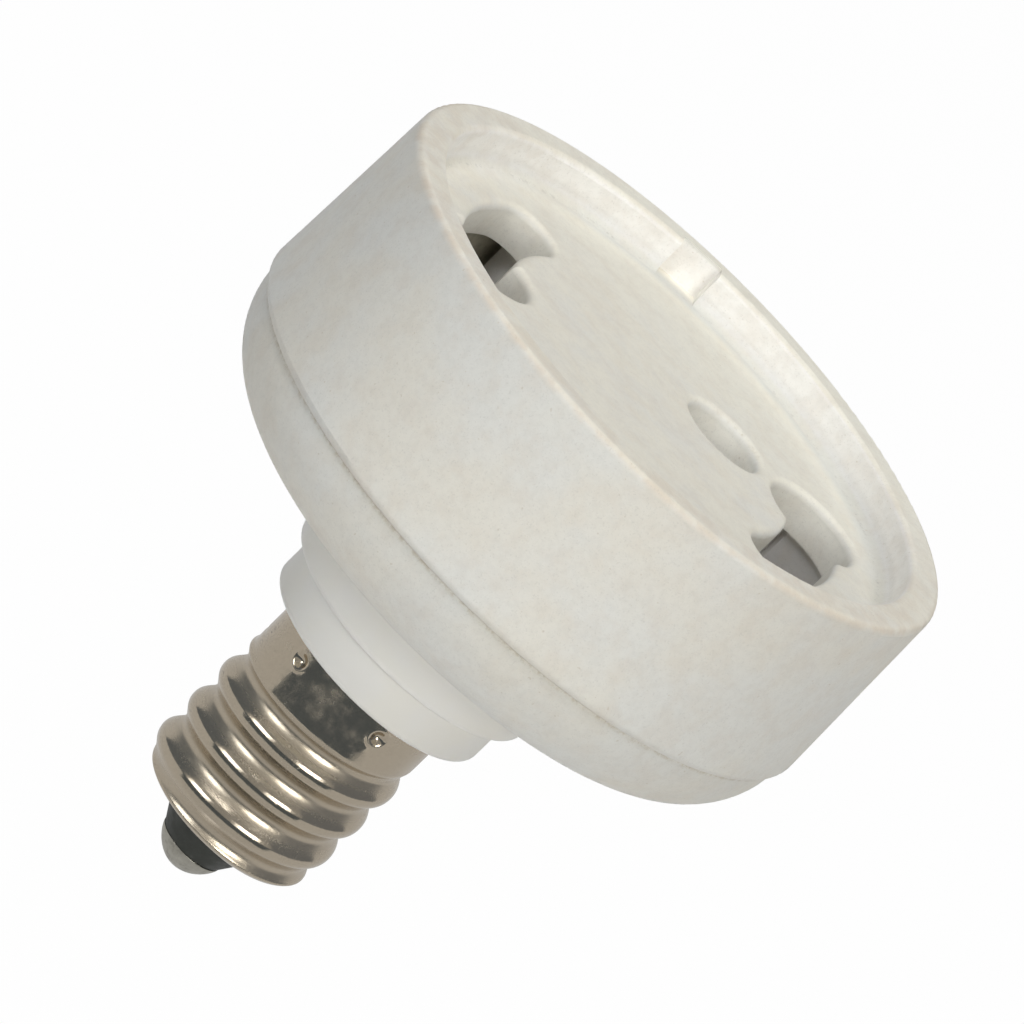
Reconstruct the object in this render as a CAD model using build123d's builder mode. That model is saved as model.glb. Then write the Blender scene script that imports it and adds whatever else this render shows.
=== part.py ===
from build123d import *
import math
import os

# Lamp socket adapter: candelabra screw base below, two-pin twist-lock lamp socket above.
# Millimetres. Z runs along the screw's axis from the tip of the centre contact, at 0, up to the socket rim.
# One keyhole's round entry hole lies on +X, the other on -X.

# Heights of the stack, from the tip up
dome_height = 1.2
insulator_reach = 2.5
shell_reach = 13.05
flange_height = 2.8
ring_height = 4.65
cover_height = 5.16
housing_height = 11.94

# Screw shell
crest_radius = 5.86
thread_depth = 0.56
thread_pitch = 2.54
thread_valley = 0.14
thread_lead_in = 1.75
thread_run_out = 0.45
band_step = 0.3
band_height = 3.7
band_shoulder = 0.45
shell_wall = 0.35
shell_end_rounding = 1.0
thread_end_rounding = 1.5
shell_mouth_radius = 3.4
shell_tuck = 1.1

# Tip
dome_radius = 1.78
shank_radius = 0.8
shank_stand = 0.7
insulator_disc_height = 2.1

# Neck
ring_radius = 8.35
flange_radius = 7.4
neck_edge_rounding = 0.4
locating_radius = 3.6
lead_bore_offset = 2.15

# Cover
seam_step = 0.4
seam_land = 0.26
cover_floor = 2.0
register_wall = 1.3
register_height = 1.6

# Housing
seam_radius = 19.76
wall_draft = 0.47
seam_rounding = 0.5
rim_outer_rounding = 0.45
housing_wall = 2.4
rim_width = 2.1
recess_draft = 0.05
recess_depth = 2.3
recess_foot_rounding = 0.7
rim_inner_rounding = 0.4
plate_thickness = 2.4

# Keyholes: a round entry hole, then a narrower arc that runs clockwise to the locked position
pin_circle_radius = 12.0
entry_hole_radius = 3.0
slot_width = 3.6
twist_angle = 44.3
hole_edge_rounding = 0.5

# Keyway in the recess wall
keyway_angle = 80.5
keyway_width = 2.85
keyway_depth = 0.8

# Chambers under the plate
chamber_depth = 4.6
chamber_margin = 0.3
rib_wall = 1.2
cheek_offset = 0.95
cheek_width = 6.0
cheek_angle = 7.0
cheek_setback = 0.2
barrier_gap = 0.7

# Leaf contacts
leaf_post_gap = 0.25
leaf_thickness = 0.4
leaf_height = 4.6
leaf_bow = 0.45
leaf_flare = 0.5
leaf_free_angle = -18.0
leaf_bow_span = 13.0
post_angle = -80.0
post_radius = 2.3
tab_width = 4.0
tab_rounding = 0.8
tab_margin = 0.6

# Small screws that hold the leaf contacts
contact_screw_radius = 0.9
contact_screw_length = 4.4
contact_screw_head_radius = 1.7
contact_screw_head_height = 1.1

# Fixing screw and its well
fixing_offset = 5.9
fixing_angle = 20.6
well_radius = 2.55
well_wall = 1.1
well_depth = 4.2
fixing_screw_radius = 1.3
fixing_screw_length = 15.0
fixing_screw_point = 1.0
fixing_head_radius = 2.25
fixing_head_height = 1.8
fixing_head_rounding = 0.7
fixing_cross_length = 2.8
fixing_cross_width = 0.7
fixing_cross_depth = 0.9
boss_wall = 1.4

# Leads
lead_radius = 0.65
lead_drop = 2.9
lead_bend = 1.25
lead_entry_bend = 2.0
lead_end_drop = 2.0
lead_gap = 0.4

# Clearances
slip = 0.1
thread_slip = 0.05
thread_bury = 0.02
wire_slip = 0.2

# Levels worked out from the stack
insulator_z = dome_height
shell_z = insulator_z + insulator_reach
flange_z = shell_z + shell_reach
ring_z = flange_z + flange_height
cover_z = ring_z + ring_height
seam_z = cover_z + cover_height
rim_z = seam_z + housing_height
floor_z = rim_z - recess_depth
plate_z = floor_z - plate_thickness
band_z = flange_z - band_height
shell_floor_z = shell_z + shell_wall
insulator_top_z = shell_floor_z + insulator_disc_height
shank_top_z = insulator_top_z + shank_stand
cover_floor_z = cover_z + cover_floor
leaf_top_z = plate_z - slip
leaf_z = leaf_top_z - leaf_height
post_z = leaf_z + leaf_thickness
chamber_z = plate_z - chamber_depth
screw_seat_z = floor_z - well_depth
lead_z = leaf_z - lead_drop
window_z = flange_z - lead_end_drop
neck_foot_z = insulator_top_z + slip

# Radii worked out from their neighbours
root_radius = crest_radius - thread_depth
band_radius = root_radius + band_step
rim_radius = seam_radius - wall_draft
recess_rim_radius = rim_radius - rim_width
recess_floor_radius = recess_rim_radius - recess_draft
cover_rounding = cover_height - seam_land
cover_inner_rounding = cover_rounding - cover_floor
ridge_half_width = (thread_pitch - thread_valley) / 2
leaf_radius = pin_circle_radius + post_radius + leaf_post_gap + leaf_thickness / 2
wall_inner_radius = seam_radius - housing_wall
cover_radius = seam_radius - seam_step
register_radius = wall_inner_radius - slip
band_bore_radius = band_radius - shell_wall
root_bore_radius = root_radius - shell_wall
cheek_radius = pin_circle_radius + cheek_offset
chamber_wall_radius = pin_circle_radius - entry_hole_radius - chamber_margin - rib_wall / 2
barrier_reach = leaf_radius - leaf_thickness / 2 - barrier_gap
lead_bore_radius = lead_radius + wire_slip
fixing_bore_radius = fixing_screw_radius + thread_slip
shell_corner_radius = root_bore_radius - shell_wall
lead_start_radius = pin_circle_radius - contact_screw_head_radius - lead_gap - lead_radius
tab_inner_radius = lead_start_radius - lead_radius - tab_margin

# Angles round the axis
entry_wall_angle = math.degrees((entry_hole_radius + chamber_margin + rib_wall / 2) / pin_circle_radius)
lock_wall_reach = slot_width / 2 + chamber_margin + rib_wall / 2
lock_wall_angle = -twist_angle - math.degrees(lock_wall_reach / pin_circle_radius)
contact_turns = {"a": 0, "b": 180}
shell_lead_angle = post_angle + contact_turns["b"]


def polar(radius, angle):
    """Point on the plan at a radius and an angle from +X."""
    return radius * math.cos(math.radians(angle)), radius * math.sin(math.radians(angle))


def chord_span(first, last):
    """Start and length of the arc that runs from the first angle to the last."""
    return min(first, last), abs(last - first)


os.makedirs("parts", exist_ok=True)


# Socket housing: dish with a drafted outer wall, hollow below its floor plate
with BuildPart() as socket_housing:
    with BuildSketch(Plane.XZ) as housing_section:
        with BuildLine():
            Polyline(
                (0, plate_z),
                (wall_inner_radius, plate_z),
                (wall_inner_radius, seam_z),
                (seam_radius, seam_z),
                (rim_radius, rim_z),
                (recess_rim_radius, rim_z),
                (recess_floor_radius, floor_z),
                (0, floor_z),
                close=True,
            )
        make_face()
        for corner, rounding in (
            ((seam_radius, seam_z), seam_rounding),
            ((rim_radius, rim_z), rim_outer_rounding),
            ((recess_rim_radius, rim_z), rim_inner_rounding),
            ((recess_floor_radius, floor_z), recess_foot_rounding),
        ):
            fillet(housing_section.vertices().sort_by_distance(corner)[0], radius=rounding)
    revolve(axis=Axis.Z)
    # Chamber walls under each keyhole: an inner arc, a rib past the entry hole, a cheek beside that hole
    # and a barrier past the locked pin
    with BuildSketch(Plane.XY.offset(plate_z)):
        for turn in contact_turns.values():
            start, size = chord_span(turn + lock_wall_angle, turn + entry_wall_angle)
            SlotArc(CenterArc((0, 0), chamber_wall_radius, start, size, mode=Mode.PRIVATE).edge(), rib_wall)
            rib_length = wall_inner_radius + rib_wall / 2 - chamber_wall_radius
            with PolarLocations(chamber_wall_radius + rib_length / 2, 1, turn + entry_wall_angle):
                Rectangle(rib_length, rib_wall)
            cheek_length = wall_inner_radius + rib_wall / 2 - cheek_radius
            with PolarLocations(cheek_radius + cheek_length / 2, 1, turn + cheek_angle):
                Rectangle(cheek_length, cheek_width)
            barrier_length = barrier_reach - chamber_wall_radius
            with PolarLocations(chamber_wall_radius + barrier_length / 2, 1, turn + lock_wall_angle):
                Rectangle(barrier_length, rib_wall)
        with PolarLocations(pin_circle_radius, len(contact_turns)):
            Circle(entry_hole_radius + cheek_setback, mode=Mode.SUBTRACT)
    extrude(amount=-chamber_depth)
    # Posts for the leaf contacts
    with BuildSketch(Plane.XY.offset(plate_z)):
        with PolarLocations(pin_circle_radius, len(contact_turns), post_angle):
            Circle(post_radius)
    extrude(amount=post_z - plate_z)
    # Well for the fixing screw
    with BuildSketch(Plane.XY.offset(plate_z)):
        with PolarLocations(fixing_offset, 1, fixing_angle):
            Circle(well_radius + well_wall)
    extrude(amount=-chamber_depth)
    with BuildSketch(Plane.XY.offset(floor_z)):
        with PolarLocations(fixing_offset, 1, fixing_angle):
            Circle(well_radius)
    extrude(amount=-well_depth, mode=Mode.SUBTRACT)
    with BuildSketch(Plane.XY.offset(screw_seat_z)):
        with PolarLocations(fixing_offset, 1, fixing_angle):
            Circle(fixing_screw_radius + slip)
    extrude(amount=chamber_z - screw_seat_z, mode=Mode.SUBTRACT)
    # Keyholes through the floor plate
    with BuildSketch(Plane.XY.offset(floor_z)):
        with PolarLocations(pin_circle_radius, len(contact_turns)):
            Circle(entry_hole_radius)
        for turn in contact_turns.values():
            start, size = chord_span(turn - twist_angle, turn)
            SlotArc(CenterArc((0, 0), pin_circle_radius, start, size, mode=Mode.PRIVATE).edge(), slot_width)
    extrude(amount=-plate_thickness, mode=Mode.SUBTRACT)
    # Keyway, open at the rim
    with BuildSketch(Plane.XY.offset(floor_z)):
        with PolarLocations(recess_rim_radius, 1, keyway_angle):
            Rectangle(2 * keyway_depth, keyway_width)
    extrude(amount=recess_depth, mode=Mode.SUBTRACT)
    # Soft moulded edge round each hole in the floor
    floor_face = socket_housing.faces().filter_by(Plane.XY.offset(floor_z)).sort_by(SortBy.AREA)[-1]
    fillet(floor_face.inner_wires().edges(), radius=hole_edge_rounding)
    # Blind holes in the posts
    with BuildSketch(Plane.XY.offset(post_z)):
        with PolarLocations(pin_circle_radius, len(contact_turns), post_angle):
            Circle(contact_screw_radius + thread_slip)
    extrude(amount=contact_screw_length, mode=Mode.SUBTRACT)
socket_housing.part.label = "socket_housing"
export_step(socket_housing.part, "parts/socket_housing.step")


# Base cover: rounded bowl with a register inside the housing wall and a boss round the fixing screw
with BuildPart() as base_cover:
    with BuildSketch(Plane.XZ) as cover_section:
        with BuildLine():
            Polyline(
                (locating_radius + slip, cover_z),
                (cover_radius, cover_z),
                (cover_radius, seam_z),
                (register_radius, seam_z),
                (register_radius, seam_z + register_height),
                (register_radius - register_wall, seam_z + register_height),
                (register_radius - register_wall, cover_floor_z),
                (locating_radius + slip, cover_floor_z),
                close=True,
            )
        make_face()
        fillet(cover_section.vertices().sort_by_distance((cover_radius, cover_z))[0], radius=cover_rounding)
        inner_corner = (register_radius - register_wall, cover_floor_z)
        fillet(cover_section.vertices().sort_by_distance(inner_corner)[0], radius=cover_inner_rounding)
    revolve(axis=Axis.Z)
    with BuildSketch(Plane.XY.offset(cover_floor_z)):
        with PolarLocations(fixing_offset, 1, fixing_angle):
            Circle(fixing_screw_radius + slip + boss_wall)
        Circle(locating_radius + slip, mode=Mode.SUBTRACT)
    extrude(amount=chamber_z - slip - cover_floor_z)
    with BuildSketch(Plane.XY.offset(cover_z)):
        with PolarLocations(fixing_offset, 1, fixing_angle):
            Circle(fixing_screw_radius + slip)
    extrude(amount=chamber_z - cover_z, mode=Mode.SUBTRACT)
base_cover.part.label = "base_cover"
export_step(base_cover.part, "parts/base_cover.step")


# Neck: ring and flange outside, locating spigot in the cover above, carrier for the shell below
with BuildPart() as neck:
    with BuildSketch(Plane.XZ) as neck_section:
        with BuildLine():
            Polyline(
                (0, neck_foot_z),
                (root_bore_radius - slip, neck_foot_z),
                (root_bore_radius - slip, band_z),
                (band_bore_radius - slip, band_z + band_shoulder),
                (band_bore_radius - slip, flange_z + shell_tuck),
                (band_radius + slip, flange_z + shell_tuck),
                (band_radius + slip, flange_z),
                (flange_radius, flange_z),
                (flange_radius, ring_z),
                (ring_radius, ring_z),
                (ring_radius, cover_z),
                (locating_radius, cover_z),
                (locating_radius, cover_floor_z),
                (0, cover_floor_z),
                close=True,
            )
        make_face()
        for corner in ((flange_radius, flange_z), (ring_radius, ring_z)):
            fillet(neck_section.vertices().sort_by_distance(corner)[0], radius=neck_edge_rounding)
    revolve(axis=Axis.Z)
    # Bores for the two leads; the shell's lead leaves through a window in the side of the carrier
    with BuildSketch(Plane.XY.offset(cover_floor_z)):
        Circle(max(lead_bore_radius, shank_radius + slip))
    extrude(amount=neck_foot_z - cover_floor_z, mode=Mode.SUBTRACT)
    with BuildSketch(Plane.XY.offset(cover_floor_z)):
        with PolarLocations(lead_bore_offset, 1, shell_lead_angle):
            Circle(lead_bore_radius)
    extrude(amount=window_z - lead_bore_radius - cover_floor_z, mode=Mode.SUBTRACT)
    with BuildSketch(Plane.XY.offset(window_z - lead_bore_radius)):
        window_length = band_bore_radius - lead_bore_offset
        with PolarLocations(lead_bore_offset + window_length / 2, 1, shell_lead_angle):
            Rectangle(window_length, 2 * lead_bore_radius)
    extrude(amount=lead_bend + 2 * lead_bore_radius, mode=Mode.SUBTRACT)
    # Pilot hole for the fixing screw
    with BuildSketch(Plane.XY.offset(cover_z)):
        with PolarLocations(fixing_offset, 1, fixing_angle):
            Circle(fixing_bore_radius)
    extrude(amount=screw_seat_z - fixing_screw_length - slip - cover_z, mode=Mode.SUBTRACT)
neck.part.label = "neck"
export_step(neck.part, "parts/neck.step")


# Rolled thread of the shell: a round ridge on a right-hand helix, faded into the shell's end and the band
thread_start_z = shell_z - thread_lead_in
thread_top_z = band_z + thread_run_out
ridge_base_radius = root_radius - shell_wall / 2
ridge_middle_radius = (crest_radius + root_radius) / 2
fade_radius = crest_radius + thread_run_out / 2
with BuildPart() as thread_ridge:
    with BuildLine() as thread_line:
        Helix(thread_pitch, thread_top_z - thread_start_z, root_radius, center=(0, 0, thread_start_z))
    with BuildSketch(Plane.XZ):
        with BuildLine():
            crest = ThreePointArc(
                (ridge_middle_radius, thread_start_z - ridge_half_width / 2),
                (crest_radius, thread_start_z),
                (ridge_middle_radius, thread_start_z + ridge_half_width / 2),
            )
            TangentArc(crest @ 1, (root_radius, thread_start_z + ridge_half_width), tangent=crest % 1)
            TangentArc(crest @ 0, (root_radius, thread_start_z - ridge_half_width), tangent=-(crest % 0))
            Polyline(
                (root_radius, thread_start_z + ridge_half_width),
                (ridge_base_radius, thread_start_z + ridge_half_width),
                (ridge_base_radius, thread_start_z - ridge_half_width),
                (root_radius, thread_start_z - ridge_half_width),
            )
        make_face()
    sweep(path=thread_line.line, is_frenet=True)
    with BuildSketch(Plane.XZ):
        with BuildLine():
            end_arc = TangentArc(
                (crest_radius - thread_end_rounding, shell_z),
                (fade_radius, shell_z + thread_end_rounding),
                tangent=(1, 0),
            )
            Polyline(
                end_arc @ 1,
                (fade_radius, band_z - thread_run_out),
                (band_radius - thread_bury, band_z + band_shoulder),
                (band_radius - thread_bury, flange_z),
                (0, flange_z),
                (0, shell_z),
                end_arc @ 0,
            )
        make_face()
    revolve(axis=Axis.Z, mode=Mode.INTERSECT)


# Screw shell: plain band, thread, end turned in round the insulator
with BuildPart() as screw_shell:
    with BuildSketch(Plane.XZ) as shell_section:
        with BuildLine():
            Polyline(
                (0, shell_z),
                (root_radius, shell_z),
                (root_radius, band_z),
                (band_radius, band_z + band_shoulder),
                (band_radius, flange_z + shell_tuck),
                (0, flange_z + shell_tuck),
                close=True,
            )
        make_face()
        end_corner = shell_section.vertices().sort_by_distance((root_radius, shell_z))[0]
        fillet(end_corner, radius=shell_end_rounding)
    revolve(axis=Axis.Z)
    add(thread_ridge.part)
    with BuildSketch(Plane.XZ):
        with BuildLine():
            Polyline(
                (0, shell_z),
                (shell_mouth_radius, shell_z),
                (shell_mouth_radius, shell_floor_z),
                (shell_corner_radius, shell_floor_z),
                (root_bore_radius, shell_floor_z + shell_wall),
                (root_bore_radius, band_z),
                (band_bore_radius, band_z + band_shoulder),
                (band_bore_radius, flange_z + shell_tuck),
                (0, flange_z + shell_tuck),
                close=True,
            )
        make_face()
    revolve(axis=Axis.Z, mode=Mode.SUBTRACT)
screw_shell.part.label = "screw_shell"
export_step(screw_shell.part, "parts/screw_shell.step")


# Tip insulator: disc held inside the shell's end, with a cone below
with BuildPart() as tip_insulator:
    with BuildSketch(Plane.XZ):
        with BuildLine():
            Polyline(
                (shank_radius + thread_slip, insulator_z),
                (dome_radius, insulator_z),
                (shell_mouth_radius - slip, shell_z),
                (shell_mouth_radius - slip, shell_floor_z),
                (shell_corner_radius - slip, shell_floor_z),
                (root_bore_radius - slip, shell_floor_z + shell_wall),
                (root_bore_radius - slip, insulator_top_z),
                (shank_radius + thread_slip, insulator_top_z),
                close=True,
            )
        make_face()
    revolve(axis=Axis.Z)
tip_insulator.part.label = "tip_insulator"
export_step(tip_insulator.part, "parts/tip_insulator.step")


# Centre contact: dome below the insulator on a shank that runs up through it
with BuildPart() as centre_contact:
    with BuildSketch(Plane.XZ):
        with BuildLine():
            dome = TangentArc((0, 0), (dome_radius, dome_height), tangent=(1, 0))
            Polyline(
                dome @ 1,
                (shank_radius, dome_height),
                (shank_radius, shank_top_z),
                (0, shank_top_z),
                dome @ 0,
            )
        make_face()
    revolve(axis=Axis.Z)
centre_contact.part.label = "centre_contact"
export_step(centre_contact.part, "parts/centre_contact.step")


# Leaf contacts: a strip on edge outside the pin's path, bowed in where the pin locks, with a tab on the post
for side, turn in contact_turns.items():
    bow_angle = turn - twist_angle
    leaf_end_angle = turn + post_angle - math.degrees(tab_width / 2 / leaf_radius)
    bow_start, bow_end = bow_angle + leaf_bow_span, bow_angle - leaf_bow_span
    with BuildPart() as contact_spring:
        with BuildSketch(Plane.XY.offset(leaf_z)):
            with BuildLine():
                Line(polar(leaf_radius + leaf_flare, turn + leaf_free_angle), polar(leaf_radius, bow_start))
                ThreePointArc(
                    polar(leaf_radius, bow_start),
                    polar(leaf_radius - leaf_bow, bow_angle),
                    polar(leaf_radius, bow_end),
                )
                ThreePointArc(
                    polar(leaf_radius, bow_end),
                    polar(leaf_radius, (bow_end + leaf_end_angle) / 2),
                    polar(leaf_radius, leaf_end_angle),
                )
            trace(line_width=leaf_thickness)
        extrude(amount=leaf_height)
        with BuildSketch(Plane.XY.offset(leaf_z)) as tab_outline:
            with PolarLocations((tab_inner_radius + leaf_radius) / 2, 1, turn + post_angle):
                Rectangle(leaf_radius - tab_inner_radius, tab_width)
            fillet(tab_outline.vertices().sort_by_distance((0, 0))[:2], radius=tab_rounding)
            with PolarLocations(pin_circle_radius, 1, turn + post_angle):
                Circle(contact_screw_radius + slip, mode=Mode.SUBTRACT)
        extrude(amount=leaf_thickness)
    contact_spring.part.label = f"contact_spring_{side}"
    export_step(contact_spring.part, f"parts/contact_spring_{side}.step")


# Small screws that hold the leaf contacts under their posts
with BuildPart() as contact_screws:
    with BuildSketch(Plane.XY.offset(leaf_z)):
        with PolarLocations(pin_circle_radius, len(contact_turns), post_angle):
            Circle(contact_screw_head_radius)
    extrude(amount=-contact_screw_head_height)
    with BuildSketch(Plane.XY.offset(leaf_z)):
        with PolarLocations(pin_circle_radius, len(contact_turns), post_angle):
            Circle(contact_screw_radius)
    extrude(amount=leaf_thickness + contact_screw_length - slip)
contact_screws.part.label = "contact_screws"
export_step(contact_screws.part, "parts/contact_screws.step")


# Fixing screw in the well: round head with a cross recess, shank through the cover's boss into the neck
with BuildPart() as fixing_screw:
    with BuildSketch(Plane.XY.offset(screw_seat_z)):
        with PolarLocations(fixing_offset, 1, fixing_angle):
            Circle(fixing_head_radius)
    extrude(amount=fixing_head_height)
    fillet(fixing_screw.edges().group_by(Axis.Z)[-1], radius=fixing_head_rounding)
    with BuildSketch(Plane.XY.offset(screw_seat_z + fixing_head_height)):
        with PolarLocations(fixing_offset, 1, fixing_angle):
            Rectangle(fixing_cross_length, fixing_cross_width)
            Rectangle(fixing_cross_width, fixing_cross_length)
    extrude(amount=-fixing_cross_depth, mode=Mode.SUBTRACT)
    with BuildSketch(Plane.XY.offset(screw_seat_z)):
        with PolarLocations(fixing_offset, 1, fixing_angle):
            Circle(fixing_screw_radius)
    extrude(amount=-fixing_screw_length)
    chamfer(fixing_screw.edges().group_by(Axis.Z)[0], fixing_screw_point, fixing_screw_radius / 2)
fixing_screw.part.label = "fixing_screw"
export_step(fixing_screw.part, "parts/fixing_screw.step")


# Leads: each hangs from its tab, crosses to the neck and goes down its bore
lead_routes = {
    "lead_centre": (
        (*polar(lead_start_radius, post_angle), leaf_z),
        (*polar(lead_start_radius, post_angle), lead_z),
        (0, 0, lead_z),
        (0, 0, shank_top_z),
    ),
    "lead_shell": (
        (*polar(lead_start_radius, shell_lead_angle), leaf_z),
        (*polar(lead_start_radius, shell_lead_angle), lead_z),
        (*polar(lead_bore_offset, shell_lead_angle), lead_z),
        (*polar(lead_bore_offset, shell_lead_angle), window_z),
        (*polar(band_bore_radius - thread_slip, shell_lead_angle), window_z),
    ),
}
lead_bends = {
    "lead_centre": [lead_bend, lead_entry_bend],
    "lead_shell": [lead_bend, lead_entry_bend, lead_bend],
}
for name, route in lead_routes.items():
    with BuildPart() as lead:
        with BuildLine() as lead_line:
            FilletPolyline(*route, radius=lead_bends[name])
        with BuildSketch(Plane.XY.offset(leaf_z)):
            with Locations(route[0][:2]):
                Circle(lead_radius)
        sweep(path=lead_line.line)
    lead.part.label = name
    export_step(lead.part, f"parts/{name}.step")
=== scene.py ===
"""Looks of a lamp socket adapter: a white two-piece moulding on a nickel candelabra screw base."""
import math

import bmesh
import bpy
import numpy as np
from bpy.props import FloatProperty, FloatVectorProperty, IntProperty, PointerProperty
from mathutils import Matrix, Vector


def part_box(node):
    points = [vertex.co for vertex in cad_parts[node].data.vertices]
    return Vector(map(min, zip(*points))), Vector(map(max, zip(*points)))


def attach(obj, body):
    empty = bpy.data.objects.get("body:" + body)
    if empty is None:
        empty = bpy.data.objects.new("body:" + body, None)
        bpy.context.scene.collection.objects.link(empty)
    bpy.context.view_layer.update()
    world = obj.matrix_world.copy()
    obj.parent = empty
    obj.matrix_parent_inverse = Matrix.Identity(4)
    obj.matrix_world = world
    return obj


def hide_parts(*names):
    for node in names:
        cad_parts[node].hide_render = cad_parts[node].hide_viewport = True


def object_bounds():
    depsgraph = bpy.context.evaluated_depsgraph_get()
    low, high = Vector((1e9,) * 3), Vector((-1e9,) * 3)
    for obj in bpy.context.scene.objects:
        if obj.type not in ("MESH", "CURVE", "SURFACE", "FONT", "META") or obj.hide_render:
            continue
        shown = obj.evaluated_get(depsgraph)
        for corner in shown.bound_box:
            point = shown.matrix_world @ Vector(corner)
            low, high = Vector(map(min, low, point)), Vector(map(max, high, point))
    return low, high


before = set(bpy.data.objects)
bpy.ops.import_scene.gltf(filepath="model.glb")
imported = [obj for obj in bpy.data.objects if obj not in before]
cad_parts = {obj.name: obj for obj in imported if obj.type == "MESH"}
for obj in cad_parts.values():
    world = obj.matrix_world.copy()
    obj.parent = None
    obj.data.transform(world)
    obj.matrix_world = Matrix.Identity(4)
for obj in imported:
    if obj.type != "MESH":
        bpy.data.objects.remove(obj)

bl_info = {
    "name": "Lamp Socket Adapter",
    "version": (1, 0, 0),
    "blender": (4, 5, 0),
    "location": "View3D > Sidebar > Adapter",
    "description": "Dresses the adapter's solids and sets its studio",
    "category": "Object",
}

MM = 0.001
BODY = "root"
CAD_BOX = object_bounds()
SHELL_LOW, SHELL_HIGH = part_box("screw_shell")
TIP_LOW, TIP_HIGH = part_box("centre_contact")
HOUSING_LOW, HOUSING_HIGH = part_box("socket_housing")
COVER_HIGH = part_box("base_cover")[1]
WELL_LOW, WELL_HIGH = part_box("fixing_screw")
WHITE = (1.0, 1.0, 1.0)

# Points of a surface that are closer than this become one.
MERGE_DISTANCE = 1e-4 * MM
# Rounding of the thread's corners, in thread depths.
THREAD_BLEND = 0.25
# Ridge round a punch mark: its height in mark depths, its place and its width in mark radii.
RIDGE_SHARE, RIDGE_PLACE, RIDGE_WIDTH = 0.12, 1.15, 0.22
# Lip of the shell: the bead's width in lip heights, the bead's and the groove's places in bead widths.
BEAD_WIDTH, BEAD_PLACE, GROOVE_PLACE = 1.5, 1.0, 4.0
# Grid of a cloth, round the shell and up.
CLOTH_COLUMNS, CLOTH_ROWS = 24, 8


def length(name, default, description):
    """A length in metres, shown in the scene's unit."""
    return FloatProperty(
        name=name, description=description, default=default, unit="LENGTH", subtype="DISTANCE", precision=5
    )


def camera_length(name, millimetres, description):
    """A length inside the camera, in millimetres."""
    return FloatProperty(
        name=name,
        description=description,
        default=millimetres,
        min=1.0,
        unit="CAMERA",
        subtype="DISTANCE_CAMERA",
    )


def angle(name, degrees, description):
    """An angle, written in degrees and kept in radians."""
    return FloatProperty(name=name, description=description, default=math.radians(degrees), subtype="ANGLE")


def amount(name, default, description):
    """A plain factor."""
    return FloatProperty(name=name, description=description, default=default, min=0.0, subtype="FACTOR")


def power(name, watts, description):
    """A lamp's power in watts."""
    return FloatProperty(
        name=name, description=description, default=watts, min=0.0, unit="POWER", subtype="POWER"
    )


def count(name, default, description):
    """A number of grid lines."""
    return IntProperty(name=name, description=description, default=default, min=3, subtype="UNSIGNED")


def colour(name, default, description):
    """A linear colour."""
    return FloatVectorProperty(
        name=name, description=description, default=default, size=3, min=0.0, max=1.0, subtype="COLOR"
    )


class BodySizes(bpy.types.PropertyGroup):
    """Where the marks on the moulding sit."""

    rim_radius: length("Rim Radius", 19.29 * MM, "Outer edge of the rim")
    recess_radius: length("Recess Radius", 17.2 * MM, "Wall of the recess")
    recess_depth: length("Recess Depth", 2.3 * MM, "From the rim to the face")
    plate_thickness: length("Plate Thickness", 2.4 * MM, "Plate with the keyholes")
    well_radius: length("Well Radius", 2.55 * MM, "Well of the fixing screw")
    # Lit side of the moulding, round the axis from +X: its faces get painted light, and the foot of its
    # recess painted shade.
    lit_side_angle: angle("Clean Side", 60.0, "Side on which the faces are cleanest, round the axis from +X")


class ShellSizes(bpy.types.PropertyGroup):
    """Sizes of the rolled screw shell."""

    crest_radius: length("Crest Radius", 5.93 * MM, "Radius over the thread's crests")
    thread_depth: length("Thread Depth", 0.62 * MM, "From crest to root")
    thread_pitch: length("Thread Pitch", 2.54 * MM, "Rise of one turn")
    thread_start: length("Thread Start", 1.76 * MM, "Height of the crest line at +X, below the shell")
    band_radius: length("Band Radius", 5.6 * MM, "Radius of the plain band under the flange")
    band_height: length("Band Height", 5.3 * MM, "Plain band, down from the top of the shell")
    band_shoulder: length("Band Shoulder", 0.45 * MM, "Height over which the thread fades under the band")
    band_rounding: length("Band Rounding", 1.45 * MM, "Height over which the root widens into the band")
    end_rounding: length("End Rounding", 1.5 * MM, "Height over which the thread fades into the end")
    end_radius: length("End Radius", 4.36 * MM, "Radius at which the turned-in end starts to rise")
    mouth_radius: length("Mouth Radius", 3.4 * MM, "Opening for the insulator")
    lip_height: length("Lip Height", 0.1 * MM, "Bead round the mouth")
    end_lift: length("End Lift", 0.16 * MM, "Turned-in end, above the foot of the solid")
    wall: length("Wall", 0.32 * MM, "Sheet thickness")
    stake_radius: length("Stake Radius", 0.5 * MM, "Punch marks that hold the band on the neck")
    stake_depth: length("Stake Depth", 0.3 * MM, "Depth of a punch mark")
    stake_drop: length("Stake Drop", 2.45 * MM, "Punch marks, down from the top of the shell")
    stake_first: angle("First Stake", -142.9, "Angle of one punch mark from +X")
    stake_second: angle("Second Stake", -78.5, "Angle of the other punch mark from +X")
    columns: count("Columns", 400, "Grid lines round the shell")
    straight_rows: count("Straight Rows", 165, "Grid lines down the band and the thread")
    end_rows: count("End Rows", 30, "Grid lines down the turned-in end")
    mouth_rows: count("Mouth Rows", 16, "Grid lines from the end to the mouth")


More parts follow.
